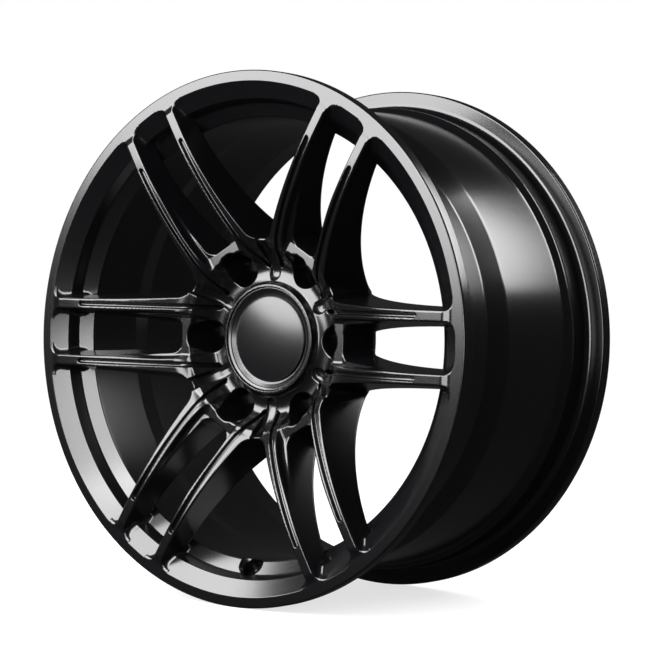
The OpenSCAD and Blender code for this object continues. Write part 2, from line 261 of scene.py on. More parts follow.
def rim_corners(s):
    """Corners of the whole rim's section, each (distance from the axle, height, radius)."""
    face, flange = s.face_height, s.flange_radius
    bead = flange - s.flange_height
    seat = face - s.flange_thickness
    well = bead - s.well_depth
    toe = 0.0065
    edge = 0.0018
    outboard = [
        (flange, face, edge),
        (flange, seat, edge),
        (bead, seat, toe),
        (bead - 0.00175, seat - 0.020, 0.002),
        (bead, seat - 0.024, 0.0022),
        (bead, seat - 0.027, 0.0022),
        (well, seat - 0.0427, 0.006),
        (well, seat - 0.0767, 0.008),
        (well + 0.008, seat - 0.0987, 0.012),
    ]
    inboard = [
        (bead - 0.005, -seat + 0.0315, 0.005),
        (bead, -seat + 0.027, 0.0022),
        (bead, -seat + 0.024, 0.0022),
        (bead - 0.00175, -seat + 0.020, 0.002),
        (bead, -seat, toe),
        (flange, -seat, edge),
        (flange, -face, edge),
        (flange - s.flange_thickness, -face, 0.004),
        (bead - s.wall, -seat - 0.004, 0.003),
        (bead - s.wall - 0.0015, -seat + toe, 0.004),
        (bead - s.wall - 0.005, -seat + 0.031, 0.006),
    ]
    return outboard + inboard + lip_corners(s)[::-1]


# ---------------------------------------------------------------- the forged face

class ForgedFace:
    """The spokes and hub as one signed distance field, negative in metal, so that every
    forged blend runs smoothly from surface to surface."""

    SUNK = 0.000006
    OVERLAP = 0.0025
    RIM_ZONE = 0.180
    BAR_END_SLOPE = math.radians(57)
    BAR_END_HEIGHT = 0.0955
    BAR_END_DISTANCE = 0.0835
    BAR_END_BLEND = 0.008
    WINDOW_FOOT = 0.0335
    LEDGE_START = 0.095
    CHANNEL_CORNER = 0.0035
    CHANNEL_DROP = 0.0035
    CHANNEL_RUN = 0.026
    LUG_SLOPE = math.radians(30)
    CROWN_FADE = 0.009
    GROOVE_START = 0.0665

    def __init__(self, scene):
        self.spoke = scene.wheel_spokes
        self.hub = scene.wheel_hub
        self.rim = scene.wheel_rim
        s = self.spoke
        self.front_middle = s.top - s.front_curve
        self.rear_middle = s.top - s.depth - s.rear_curve
        self.ring = self.rim.flange_radius - self.rim.flange_ring
        far = self.rim.flange_radius + 0.03
        lip = lip_corners(self.rim)
        rise = (far - lip[0][0]) * self.rim.lip_height / self.rim.lip_width
        chain = [(far, lip[0][1] + rise, 0)] + lip[1:] + [(far, lip[-1][1], 0)]
        self.rim_outline = rounded_outline(chain)

    def front_height(self, u):
        """Height of the spokes' tops, and the cosine of their slope."""
        s = self.spoke
        run = np.maximum(s.crown_radius - u, 0)
        drop = np.sqrt(s.front_curve ** 2 - run ** 2)
        return self.front_middle + drop, drop / s.front_curve

    def bar_top(self, u, r, w):
        """Tops of the bars, which fall away steeply into the dish beside the lug pockets."""
        height, cosine = self.front_height(u)
        top = (w - height) * cosine
        fall = self.BAR_END_SLOPE
        end = (w - self.BAR_END_HEIGHT) * math.cos(fall) - (r - self.BAR_END_DISTANCE) * math.sin(fall)
        return round_max(top, end, self.BAR_END_BLEND)

    def window_half(self, w):
        s = self.spoke
        return s.window_half - (s.top - w) * math.tan(s.window_draft)

    def outer_wall(self, v, w):
        s = self.spoke
        reach = s.pair_half + (s.top - w) * math.tan(s.pair_draft)
        return (v - reach) * math.cos(s.pair_draft)

    def rear(self, u, w):
        s = self.spoke
        return s.rear_curve - np.hypot(u - s.rear_radius, w - self.rear_middle)

    def hub_top(self, u, r, w):
        """The dish with the collar in its middle, level with the ledge at the windows."""
        h, s = self.hub, self.spoke
        height, cosine = self.front_height(np.maximum(u, s.window_end))
        level = (w - height + s.ledge_drop) * cosine
        dish = h.dish_radius - np.hypot(r - h.dish_distance, w - h.dish_floor - h.dish_radius)
        collar = round_max(r - h.collar_radius, w - h.collar_height, 0.0010)
        return round_min(round_max(dish, level, 0.0015), collar, 0.003)

    def window(self, u, v, w):
        """The window's lower part, with a squared inner end."""
        s = self.spoke
        end = s.window_end + (s.top - self.WINDOW_FOOT - w) * math.tan(s.window_draft)
        along = end + s.window_corner - u
        across = v - self.window_half(w) + s.window_corner
        corner = np.hypot(np.maximum(along, 0), np.maximum(across, 0))
        distance = corner + np.minimum(np.maximum(along, across), 0) - s.window_corner
        return distance * math.cos(s.window_draft)

    def channel(self, u, v, w):
        """The U-shaped channel between two neighbouring pairs."""
        h = self.hub
        along = u * math.cos(SECTOR / 2) + v * math.sin(SECTOR / 2)
        across = np.abs(u * math.sin(SECTOR / 2) - v * math.cos(SECTOR / 2))
        start = h.channel_start + h.channel_half
        out = np.clip(along - h.dish_distance, -0.01, 0.0265)
        floor = h.dish_floor + h.channel_curve - np.sqrt(h.channel_curve ** 2 - out ** 2)
        floor = floor - self.CHANNEL_DROP * (1 - smooth_step((along - start) / self.CHANNEL_RUN))
        corner = self.CHANNEL_CORNER
        across = np.hypot(across, np.maximum(start - along, 0)) - h.channel_half + corner
        deep = floor + corner - w
        edge = np.hypot(np.maximum(across, 0), np.maximum(deep, 0))
        return edge + np.minimum(np.maximum(across, deep), 0) - corner

    def lug_pocket(self, u, v, w):
        h = self.hub
        slope = self.LUG_SLOPE
        seat = h.mount_height + h.lug_seat
        radius = np.clip(h.lug_hole + (w - seat) * math.tan(slope), h.lug_hole, h.lug_pocket)
        cosine = np.where((radius > h.lug_hole) & (radius < h.lug_pocket), math.cos(slope), 1)
        return (np.hypot(u - h.lug_circle, v) - radius) * cosine

    def bores(self, r, w):
        h = self.hub
        top = h.mount_height + h.bore_depth
        centre = np.maximum(r - h.bore_radius, w - top)
        room = np.maximum(r - h.cap_bore_radius - h.clip_relief, w - top - h.clip_room)
        recess = np.maximum(r - h.recess_radius, h.collar_height - h.recess_depth - w)
        return np.minimum(np.minimum(centre, room), np.minimum(recess, r - h.cap_bore_radius))

    def inner_part(self, u, v, r, w):
        """Bars and hub as far as the rim's blends."""
        s, h = self.spoke, self.hub
        ledge = s.ledge_width * smooth_step((s.ledge_end - u) / (s.ledge_end - self.LEDGE_START))
        wall = (self.window_half(w) + ledge - v) * math.cos(s.window_draft)
        bars = round_max(wall, self.bar_top(u, r, w), s.edge)
        metal = round_min(bars, self.hub_top(u, r, w), 0.0028)
        metal = round_max(metal, -self.window(u, v, w), np.minimum(0.0011, ledge / 2))
        flat = u * math.cos(SECTOR / 2) + v * math.sin(SECTOR / 2) - h.flat_distance
        metal = round_max(metal, round_min(self.outer_wall(v, w), flat, 0.0045), s.edge)
        pad = round_max(h.mount_height - w, r - h.pad_radius, 0.002)
        metal = round_max(metal, round_min(self.rear(u, w), pad, 0.008), 0.003)
        metal = round_max(metal, -self.channel(u, v, w), 0.0013)
        metal = round_max(metal, -self.lug_pocket(u, v, w), 0.0011)
        return round_max(metal, -self.bores(r, w), 0.0006)

    def outer_part(self, u, v, r, w):
        """Bars where they blend into the rim, with the blends' ends sunk just under it."""
        s = self.spoke
        rim = outline_distance(self.rim_outline, r, w)
        wall = (self.window_half(w) - v) * math.cos(s.window_draft)
        walls = np.maximum(wall, self.outer_wall(v, w))
        bars = round_max(round_min(walls, self.ring - r, s.corner), self.rear(u, w), 0.003)
        metal = round_min(bars, rim + self.SUNK, s.blend)
        height, cosine = self.front_height(u)
        face = self.rim.face_height - self.SUNK
        beside = np.maximum(np.maximum(v - s.pair_half, s.window_half - v), 0)
        inwards = smooth_step((self.ring - s.blend - u) / self.CROWN_FADE)
        proud = inwards * smooth_step(1 - beside / (self.CROWN_FADE / 2))
        metal = round_max(metal, (w - face - (height - face) * proud) * cosine, s.edge)
        inside_rim = np.maximum(rim, w - self.rim.face_height) + self.OVERLAP
        metal = np.maximum(metal, -inside_rim)
        metal = np.maximum(metal, walls - s.corner - 0.0007)
        return np.maximum(metal, r - self.ring - self.OVERLAP)

    def __call__(self, u, v, w):
        s = self.spoke
        v = np.abs(v)
        r = np.hypot(u, v)
        field = np.empty(u.shape)
        outer = u > self.RIM_ZONE
        field[~outer] = self.inner_part(u[~outer], v[~outer], r[~outer], w[~outer])
        field[outer] = self.outer_part(u[outer], v[outer], r[outer], w[outer])
        half = s.groove_width / 2
        beside = v - (s.pair_half + s.window_half) / 2
        beyond = np.maximum(np.maximum(u - s.groove_end + half, self.GROOVE_START - r), 0)
        under = -(self.bar_top(u, r, w) + s.groove_depth)
        groove = round_max(np.hypot(beside, beyond) - half, under, 0.0016)
        return round_max(field, -groove, 0.0007)

    def folded(self, x, z, w):
        """The same field for the whole wheel, at a point beside the axle."""
        turn = np.arctan2(z, x)
        turn = turn - SECTOR * np.round(turn / SECTOR)
        r = np.hypot(x, z)
        return self(r * np.cos(turn), r * np.sin(turn), w)


def gradient(field, points):
    """Slope of a field at each point, from small steps either way."""
    step = 0.00002
    slope = np.empty_like(points)
    for axis in range(3):
        ahead, behind = points.copy(), points.copy()
        ahead[:, axis] += step
        behind[:, axis] -= step
        slope[:, axis] = (field(*ahead.T) - field(*behind.T)) / (2 * step)
    return slope


def onto_surface(field, points, hold=None, rounds=4):
    """Moves points to where the field is zero. hold is a direction they don't move along."""
    for _ in range(rounds):
        slope = gradient(field, points)
        if hold is not None:
            slope -= np.sum(slope * hold, axis=1, keepdims=True) * hold
        square = np.maximum(np.sum(slope * slope, axis=1, keepdims=True), 0.1)
        move = field(*points.T)[:, None] * slope / square
        points = points - np.clip(move, -GRID / 2, GRID / 2)
    return points


def surface_net(field, low, high):
    """Quads over the surface of a field inside a box, one point for each cell it passes through."""
    axes = [np.arange(round((b - a) / GRID) + 1) * GRID + a for a, b in zip(low, high)]
    shape = [len(a) for a in axes]
    values = np.empty(shape)
    for i in range(shape[0]):
        u, v, w = np.meshgrid(axes[0][i:i + 1], axes[1], axes[2], indexing="ij")
        values[i] = field(u, v, w)[0]
    inside = values < 0
    cells = [n - 1 for n in shape]

    def corner(array, offset):
        return array[tuple(slice(o, o + n) for o, n in zip(offset, cells))]

    offsets = [(i, j, k) for i in (0, 1) for j in (0, 1) for k in (0, 1)]
    filled = sum(corner(inside, o).astype(np.int8) for o in offsets)
    active = (filled > 0) & (filled < 8)
    number = np.full(cells, -1)
    number[active] = np.arange(np.count_nonzero(active))
    at = np.argwhere(active)
    total = np.zeros((len(at), 3))
    crossings = np.zeros(len(at))
    for axis in range(3):
        for o in offsets:
            if o[axis]:
                continue
            first = at + o
            second = first.copy()
            second[:, axis] += 1
            a, b = values[tuple(first.T)], values[tuple(second.T)]
            cut = (a < 0) != (b < 0)
            share = np.where(cut, a / np.where(cut, a - b, 1), 0)
            place = first.astype(float)
            place[:, axis] += share
            total += place * cut[:, None]
            crossings += cut
    points = np.array(low) + total / crossings[:, None] * GRID
    quads = []
    for axis in range(3):
        second, third = (axis + 1) % 3, (axis + 2) % 3
        ahead = [slice(None)] * 3
        behind = [slice(None)] * 3
        ahead[axis], behind[axis] = slice(1, None), slice(None, -1)
        change = inside[tuple(ahead)] != inside[tuple(behind)]
        edges = np.argwhere(change)
        keep = (edges[:, second] > 0) & (edges[:, third] > 0)
        keep &= (edges[:, second] < shape[second] - 1) & (edges[:, third] < shape[third] - 1)
        edges = edges[keep]
        around = []
        for d2, d3 in ((0, 0), (-1, 0), (-1, -1), (0, -1)):
            cell = edges.copy()
            cell[:, second] += d2
            cell[:, third] += d3
            around.append(number[tuple(cell.T)])
        faces = np.stack(around, axis=1)
        outwards = inside[tuple(edges.T)]
        faces[~outwards] = faces[~outwards][:, ::-1]
        quads.append(faces)
    return points, np.concatenate(quads)


# ---------------------------------------------------------------- mesh tools

def only(obj):
    """Makes one object the only one selected, and active."""
    bpy.ops.object.select_all(action="DESELECT")
    obj.select_set(True)
    bpy.context.view_layer.objects.active = obj


def new_object(name, points, edges=(), faces=()):
    """A mesh object from points, edges and faces, given as lists or arrays."""
    mesh = bpy.data.meshes.new(name)
    faces = faces.tolist() if isinstance(faces, np.ndarray) else list(faces)
    mesh.from_pydata(np.asarray(points).tolist(), list(edges), faces)
    obj = bpy.data.objects.new(name, mesh)
    bpy.context.scene.collection.objects.link(obj)
    return obj


def edit(obj, *steps):
    """Runs edit-mode steps on the whole of one object."""
    only(obj)
    bpy.ops.object.mode_set(mode="EDIT")
    for step in steps:
        bpy.ops.mesh.select_all(action="SELECT")
        step()
    bpy.ops.object.mode_set(mode="OBJECT")


def apply_modifier(obj, kind, **settings):
    """Adds one modifier, sets it and applies it."""
    only(obj)
    modifier = obj.modifiers.new(kind.title(), kind)
    for name, value in settings.items():
        setattr(modifier, name, value)
    bpy.ops.object.modifier_apply(modifier=modifier.name)


def spun(name, outline, steps=LATHE_STEPS, closed=True):
    """Spins a section, (distance from the axle, height), once round the axle."""
    points = [(distance, -height, 0) for distance, height in outline]
    edges = [(i, i + 1) for i in range(len(points) - 1)]
    if closed:
        edges.append((len(points) - 1, 0))
    obj = new_object(name, points, edges)
    edit(
        obj,
        lambda: bpy.ops.mesh.spin(steps=steps, angle=math.tau, center=(0, 0, 0), axis=(0, 1, 0)),
        lambda: bpy.ops.mesh.remove_doubles(threshold=NO_MOVE),
        lambda: bpy.ops.mesh.normals_make_consistent(inside=False))
    return obj


def cut_away(obj, cutter):
    """Cuts one object out of another, and removes the cutter."""
    apply_modifier(obj, "BOOLEAN", operation="DIFFERENCE", solver="EXACT", object=cutter)
    bpy.data.objects.remove(cutter)


def smooth_turned(obj, sharp=32):
    """Shades a turned part smooth between its edges, with flats kept flat."""
    only(obj)
    bpy.ops.object.shade_smooth_by_angle(angle=math.radians(sharp))
    apply_modifier(obj, "WEIGHTED_NORMAL", weight=100, keep_sharp=True)


def mesh_arrays(obj):
    """Points of an object as an array, and its faces as lists of point numbers."""
    points = np.empty(len(obj.data.vertices) * 3)
    obj.data.vertices.foreach_get("co", points)
    return points.reshape(-1, 3), [list(face.vertices) for face in obj.data.polygons]


def bisect(obj, point, direction):
    """Cuts off what lies beyond a plane, without closing the cut."""
    edit(obj, lambda: bpy.ops.mesh.bisect(
        plane_co=point, plane_no=direction, clear_outer=True, threshold=1e-7))


def close_cut(obj, u):
    """Closes the cut at a distance u with a flat end."""
    only(obj)
    bpy.ops.object.mode_set(mode="EDIT")
    bpy.ops.mesh.select_all(action="DESELECT")
    bpy.ops.object.mode_set(mode="OBJECT")
    on_cut = [abs(v.co.x - u) < NO_MOVE for v in obj.data.vertices]
    used = {}
    for face in obj.data.polygons:
        for key in face.edge_keys:
            used[key] = used.get(key, 0) + 1
    for e in obj.data.edges:
        a, b = e.vertices
        e.select = on_cut[a] and on_cut[b] and used.get(e.key, 0) == 1
    bpy.ops.object.mode_set(mode="EDIT")
    bpy.ops.mesh.select_mode(type="EDGE")
    bpy.ops.mesh.fill(use_beauty=True)
    bpy.ops.mesh.select_mode(type="VERT")
    bpy.ops.object.mode_set(mode="OBJECT")


def shade_with(obj, normals):
    """Shades an object smooth with exact normals, one for each point."""
    obj.data.polygons.foreach_set("use_smooth", [True] * len(obj.data.polygons))
    normals = normals / np.linalg.norm(normals, axis=1, keepdims=True)
    obj.data.normals_split_custom_set_from_vertices(normals.tolist())


def on_axle(points, turn=0.0):
    """Turns (u, v, w) points by an angle round the axle and stands them in the wheel's frame."""
    u, v, w = points.T
    c, s = math.cos(turn), math.sin(turn)
    return np.stack([u * c - v * s, -w, u * s + v * c], axis=1)


PAIR_START = 0.088
SEAM_GAP = 4e-6
FACE_LOW = (0.036, -0.0555, 0.020)
FACE_HIGH = (0.2345, 0.0555, 0.1255)


def sector_object(face):
    """The surface of one pair of spokes with its sixth of the hub, in u, v and w.

    It stops without a face at the lower side of its box, behind the mounting face."""
    points, quads = surface_net(face, FACE_LOW, FACE_HIGH)
    return new_object("sector", onto_surface(face, points), faces=quads)


def settled(field, points):
    """Points moved onto the surface, those on the cut to PAIR_START staying in its plane."""
    hold = np.zeros_like(points)
    hold[np.abs(points[:, 0] - PAIR_START) < NO_MOVE, 0] = 1
    return onto_surface(field, points, hold)


def finish_piece(obj, body, slot, material, *nodes):
    """Gives a piece its finish, its body and the CAD nodes that it stands for."""
    obj.data.materials.clear()
    obj.data.materials.append(material)
    only(obj)
    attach(obj, body)
    if nodes:
        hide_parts(*nodes)


# ---------------------------------------------------------------- finishes

def add_node(tree, kind, settings, links=()):
    """Adds a node, sets its sockets or properties and joins other nodes' outputs to it."""
    node = tree.nodes.new(kind)
    for name, value in settings.items():
        if isinstance(name, int) or name in node.inputs:
            node.inputs[name].default_value = value
        else:
            setattr(node, name, value)
    for name, output in dict(links).items():
        tree.links.new(output, node.inputs[name])
    return node


def finish_material(name, shader, grain, ripple, roughness):
    """A material whose roughness varies with a grain and whose surface has a fine ripple.

    grain and ripple are (size of the pattern, how strong it is); the ripple's strength is
    its height. roughness is the middle value."""
    existing = bpy.data.materials.get(name)
    if existing:
        return existing
    material = bpy.data.materials.new(name)
    material.use_nodes = True
    tree = material.node_tree
    tree.nodes.clear()
    place = add_node(tree, "ShaderNodeTexCoord", {}).outputs["Object"]
    grain_noise = add_node(
        tree, "ShaderNodeTexNoise", {"Scale": 1 / grain[0], "Detail": 3.0}, {"Vector": place})
    ripple_noise = add_node(
        tree, "ShaderNodeTexNoise", {"Scale": 1 / ripple[0], "Detail": 1.5}, {"Vector": place})
    spread = add_node(
        tree, "ShaderNodeMapRange",
        {"From Min": 0.3, "From Max": 0.7, "To Min": roughness - grain[1], "To Max": roughness + grain[1]},
        {"Value": grain_noise.outputs["Fac"]})
    bump = add_node(
        tree, "ShaderNodeBump", {"Strength": 1.0, "Distance": ripple[1]},
        {"Height": ripple_noise.outputs["Fac"]})
    surface = add_node(
        tree, "ShaderNodeBsdfPrincipled", shader,
        {"Roughness": spread.outputs["Result"], "Normal": bump.outputs["Normal"]})
    add_node(tree, "ShaderNodeOutputMaterial", {}, {"Surface": surface.outputs["BSDF"]})
    return material


def rgba(value):
    return (*value, 1.0)


def wheel_paint():
    """Satin black paint, sprayed and baked over forged aluminium: soft-edged reflections with a
    trace of orange peel."""
    shader = {"Base Color": rgba(bpy.context.scene.wheel_colours.paint), "IOR": 1.5}
    return finish_material("satin_black_paint", shader, (0.0009, 0.02), (0.0016, 0.0000010), 0.19)


def cap_paint():
    """Satin black paint on the pressed disc: a little flatter and finer than the wheel's."""
    shader = {"Base Color": rgba(bpy.context.scene.wheel_colours.cap_paint), "IOR": 1.5}
    return finish_material("satin_black_disc_paint", shader, (0.0007, 0.015), (0.0012, 0.0000006), 0.17)


def cap_plastic():
    """Moulded black ABS: duller than the paint, with the mould's fine spark texture."""
    shader = {"Base Color": rgba(bpy.context.scene.wheel_colours.moulding), "IOR": 1.54}
    return finish_material("black_abs_moulding", shader, (0.0006, 0.03), (0.0005, 0.0000012), 0.24)


def foam_tape():
    """Closed-cell foam tape: matt grey with open pores."""
    shader = {"Base Color": rgba(bpy.context.scene.wheel_colours.foam), "IOR": 1.45}
    return finish_material("grey_foam_tape", shader, (0.0008, 0.05), (0.0006, 0.00008), 0.9)


def spring_steel():
    """Drawn spring steel wire: bright metal with fine drawing marks."""
    shader = {"Base Color": rgba(bpy.context.scene.wheel_colours.spring), "Metallic": 1.0}
    return finish_material("drawn_spring_steel", shader, (0.0004, 0.06), (0.0003, 0.000002), 0.3)


# ---------------------------------------------------------------- pieces

def valve_cutter(s):
    """A stepped cutter for the valve hole, standing on the slope inside the lip at the bottom."""
    hole, seat = s.valve_diameter / 2, s.valve_seat / 2
    land, back, front = 0.0035, -0.020, 0.0280
    back_wide, front_wide = hole + 0.0025, seat + 0.0030
    chamfer = 0.0004
    flare_start, flare_end = 0.0135, 0.0165
    outline = [
        (0, back), (back_wide, back), (back_wide, -land), (hole, -land),
        (hole, land - chamfer), (hole + chamfer, land), (seat, land), (seat, flare_start),
        (front_wide, flare_end), (front_wide, front), (0, front)]
    cutter = spun("valve_cutter", outline, steps=96, closed=False)
    lean = math.radians(45)
    in_from_flange, down_from_face = 0.02335, 0.03826
    across, along, up = mesh_arrays(cutter)[0].T
    y = along * math.cos(lean) - up * math.sin(lean) - (s.face_height - down_from_face)
    z = -along * math.sin(lean) - up * math.cos(lean) - (s.flange_radius - in_from_flange)
    cutter.data.vertices.foreach_set("co", np.stack([-across, y, z], axis=1).ravel())
    cutter.data.update()
    edit(cutter, lambda: bpy.ops.mesh.normals_make_consistent(inside=False))
    return cutter


def build_rim_barrel(scene):
    s = scene.wheel_rim
    rim = spun("rim_barrel_shell", rounded_outline(rim_corners(s)))
    cut_away(rim, valve_cutter(s))
    smooth_turned(rim)
    finish_piece(rim, "wheel", "wheel_black", wheel_paint(), "rim_barrel")


def build_spoke_pairs(scene):
    face = ForgedFace(scene)
    sector = sector_object(face)
    bisect(sector, (PAIR_START, 0, 0), (-1, 0, 0))
    close_cut(sector, PAIR_START)
    edit(sector, lambda: bpy.ops.mesh.normals_make_consistent(inside=False))
    points, faces = mesh_arrays(sector)
    points = settled(face, points)
    normals = gradient(face, points)
    for i in range(PAIRS):
        name = f"spoke_pair_{i + 1}"
        pair = new_object(name + "_forging", on_axle(points, i * SECTOR), faces=faces)
        shade_with(pair, on_axle(normals, i * SECTOR))
        finish_piece(pair, "wheel", "wheel_black", wheel_paint(), name)
    bpy.data.objects.remove(sector)


def build_hub_centre(scene):
    face = ForgedFace(scene)
    sector = sector_object(face)
    bisect(sector, (PAIR_START, 0, 0), (1, 0, 0))
    c, s = math.cos(SECTOR / 2), math.sin(SECTOR / 2)
    bisect(sector, (0, 0, 0), (-s, c, 0))
    bisect(sector, (0, 0, 0), (-s, -c, 0))
    close_cut(sector, PAIR_START)
    points, faces = mesh_arrays(sector)
    points = settled(face.folded, points)
    count = len(points)
    wheel_points = np.concatenate([on_axle(points, i * SECTOR) for i in range(PAIRS)])
    wheel_faces = [[n + i * count for n in face_points] for i in range(PAIRS) for face_points in faces]
    hub = new_object("hub_centre_forging", wheel_points, faces=wheel_faces)
    edit(
        hub,
        lambda: bpy.ops.mesh.remove_doubles(threshold=SEAM_GAP),
        lambda: bpy.ops.mesh.normals_make_consistent(inside=False))
    placed = mesh_arrays(hub)[0]
    x, y, z = placed.T
    slope = gradient(face.folded, np.stack([x, z, -y], axis=1))
    shade_with(hub, np.stack([slope[:, 0], -slope[:, 2], slope[:, 1]], axis=1))
    finish_piece(hub, "wheel", "wheel_black", wheel_paint(), "hub_centre")
    bpy.data.objects.remove(sector)


def build_cap_body(scene):
    s = scene.wheel_cap
    seat, top, skirt = s.seat_height, s.bezel_height, s.skirt_radius
    floor = seat + 0.0022
    wall = 0.0026
    tip = s.finger_tip
    outline = rounded_outline([
        (0, seat, 0), (skirt - wall, seat, 0.001), (skirt - wall, tip, 0.0004), (skirt - 0.0012, tip, 0.0003),
        (skirt, tip + 0.002, 0.0004), (skirt, tip + 0.006, 0.0004), (skirt - 0.0006, tip + 0.0075, 0.0004),
        (skirt - 0.0006, seat, 0.0004), (s.bezel_radius, seat, 0.0004), (s.bezel_radius, top, 0.0006),
        (s.bezel_radius - 0.0010, top, 0.0005), (s.bezel_radius - 0.0026, top - 0.0010, 0.0003),
        (s.bezel_radius - 0.0029, top - 0.0018, 0.0003), (s.face_radius + 0.0022, top - 0.0040, 0.0008),
        (s.face_radius + 0.0003, top - 0.0042, 0.0003), (s.face_radius + 0.0003, floor, 0.0003),
        (0, floor, 0)], turn=math.radians(18))
    body = spun("cap_body_moulding", outline, steps=192, closed=False)
    cutters = new_object("slit_cutters", [])
    only(cutters)
    bpy.ops.object.mode_set(mode="EDIT")
    for i in range(s.fingers):
        turn = (i + 0.5) * math.tau / s.fingers
        high, low = seat - 0.005, tip - 0.001
        bpy.ops.mesh.primitive_cube_add(
            size=1, location=((skirt - 0.0017) * math.cos(turn), -(high + low) / 2,
                              (skirt - 0.0017) * math.sin(turn)),
            rotation=(0, -turn, 0), scale=(0.012, high - low, 0.004))
    bpy.ops.object.mode_set(mode="OBJECT")
    cut_away(body, cutters)
    smooth_turned(body)
    finish_piece(body, "centre_cap", "cap_black", cap_plastic(), "cap_body")


def build_cap_face(scene):
    s = scene.wheel_cap
    base = s.seat_height + 0.0032
    rim = base + 0.002
    curve = (s.face_radius ** 2 + s.dome ** 2) / (2 * s.dome)
    outer = s.face_radius - 0.0006
    dome = [(x, rim + s.dome - curve + math.sqrt(curve ** 2 - x ** 2))
            for x in np.linspace(outer, 0, 20)]
    edge = [(0, base, 0), (s.face_radius, base, 0.0004), (s.face_radius, rim + 0.0001, 0.0006),
            (*dome[0], 0)]
    outline = [tuple(p) for p in rounded_outline(edge)[:-1]] + dome
    disc = spun("cap_face_disc", outline, steps=256, closed=False)
    smooth_turned(disc)
    finish_piece(disc, "centre_cap", "cap_disc", cap_paint(), "cap_face")


def finish_cap_inside(scene):
    for name, material in (("cap_pad", foam_tape()), ("cap_spring_ring", spring_steel())):
        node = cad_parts[name]
        node.data.materials.clear()
        node.data.materials.append(material)


# ---------------------------------------------------------------- studio

CAMERA_AZIMUTH = 36.59
CAMERA_ELEVATION = 0.26
CAMERA_ROLL = 1.9
CAMERA_DISTANCE = 2.0543
CAMERA_LENS = 122.84
CAMERA_SHIFT = (0.0104, 0.0171)
FLOOR_GLOW = 0.7
CLOTH_GLOW = 0.04
TENT_RADIUS = 3.4
CLOTH_HALF = 3.2
FLOOR_HALF = 9


def direction(azimuth, elevation):
    """Unit vector towards a direction in degrees; azimuth runs from the wheel's front towards +X."""
    a, e = math.radians(azimuth), math.radians(elevation)
    return np.array([math.sin(a) * math.cos(e), -math.cos(a) * math.cos(e), math.sin(e)])


def softbox(name, azimuth, elevation, distance, size, radiance, lean=0.0, shape="RECTANGLE"):
    """An area light of an even radiance that faces the wheel, out of the camera's view.

    lean turns it in its own plane, in degrees, to the left as the wheel sees it."""
    light = bpy.data.lights.new(name, "AREA")
    light.shape = shape
    light.size, light.size_y = size
    area = size[0] * size[1] * (math.pi / 4 if shape == "ELLIPSE" else 1)
    light.energy = 4 * radiance * area
    obj = bpy.data.objects.new(name, light)
    bpy.context.scene.collection.objects.link(obj)
    back = direction(azimuth, elevation)
    place_facing(obj, back * distance, back)
    obj.matrix_world = obj.matrix_world @ Matrix.Rotation(math.radians(lean), 4, "Z")
    obj.visible_camera = False


def place_facing(obj, place, back):
    """Stands an object at a place with its back along a direction, level with the floor."""
    right = np.cross((0, 0, 1), back)
    right /= np.linalg.norm(right)
    up = np.cross(back, right)
    turn = Matrix([[*row] for row in np.stack([right, up, back], axis=1)])
    obj.matrix_world = Matrix.Translation(place) @ turn.to_4x4()


def seen_rays(tree):
    """1 for rays that show the background itself: camera, glossy and transmission rays."""
    path = add_node(tree, "ShaderNodeLightPath", {})
    first = add_node(
        tree, "ShaderNodeMath", {"operation": "MAXIMUM"},
        {0: path.outputs["Is Camera Ray"], 1: path.outputs["Is Glossy Ray"]})
    return add_node(
        tree, "ShaderNodeMath", {"operation": "MAXIMUM"},
        {0: first.outputs[0], 1: path.outputs["Is Transmission Ray"]}).outputs[0]


def build_world(scene):
    """A white backdrop, which also lights the wheel evenly from all round."""
    world = bpy.data.worlds.new("studio")
    world.use_nodes = True
    tree = world.node_tree
    tree.nodes.clear()
    background = add_node(
        tree, "ShaderNodeBackground", {"Color": (1, 1, 1, 1), "Strength": 1.0})
    add_node(tree, "ShaderNodeOutputWorld", {}, {"Surface": background.outputs["Background"]})
    scene.world = world


def floor_material(scene):
    """Matt studio floor whose glow, for the eye only, lifts it to meet the backdrop without a line
    while it keeps the wheel's shadow."""
    material = bpy.data.materials.new("matt_studio_floor")
    material.use_nodes = True
    tree = material.node_tree
    tree.nodes.clear()
    matt = add_node(
        tree, "ShaderNodeBsdfDiffuse", {"Color": rgba(scene.wheel_colours.floor)})
    strength = add_node(
        tree, "ShaderNodeMath", {"operation": "MULTIPLY", 1: FLOOR_GLOW}, {0: seen_rays(tree)})
    glow = add_node(
        tree, "ShaderNodeEmission", {"Color": (1, 1, 1, 1)}, {"Strength": strength.outputs[0]})
    both = add_node(
        tree, "ShaderNodeAddShader", {}, {0: matt.outputs["BSDF"], 1: glow.outputs["Emission"]})
    add_node(tree, "ShaderNodeOutputMaterial", {}, {"Surface": both.outputs["Shader"]})
    return material


def cloth_material():
    """Charcoal cloth of the tent and the floor cloth: nearly black where the paint mirrors it."""
    material = bpy.data.materials.new("charcoal_cloth")
    material.use_nodes = True
    tree = material.node_tree
    tree.nodes.clear()
    cloth = add_node(tree, "ShaderNodeEmission", {"Color": (1, 1, 1, 1), "Strength": CLOTH_GLOW})
    add_node(tree, "ShaderNodeOutputMaterial", {}, {"Surface": cloth.outputs["Emission"]})
    return material


def level_sheet(name, half, height):
    """A level square of cloth or floor, given by half its width and its height."""
    return new_object(
        name, [(-half, -half, height), (half, -half, height), (half, half, height), (-half, half, height)],
        faces=[[0, 1, 2, 3]])


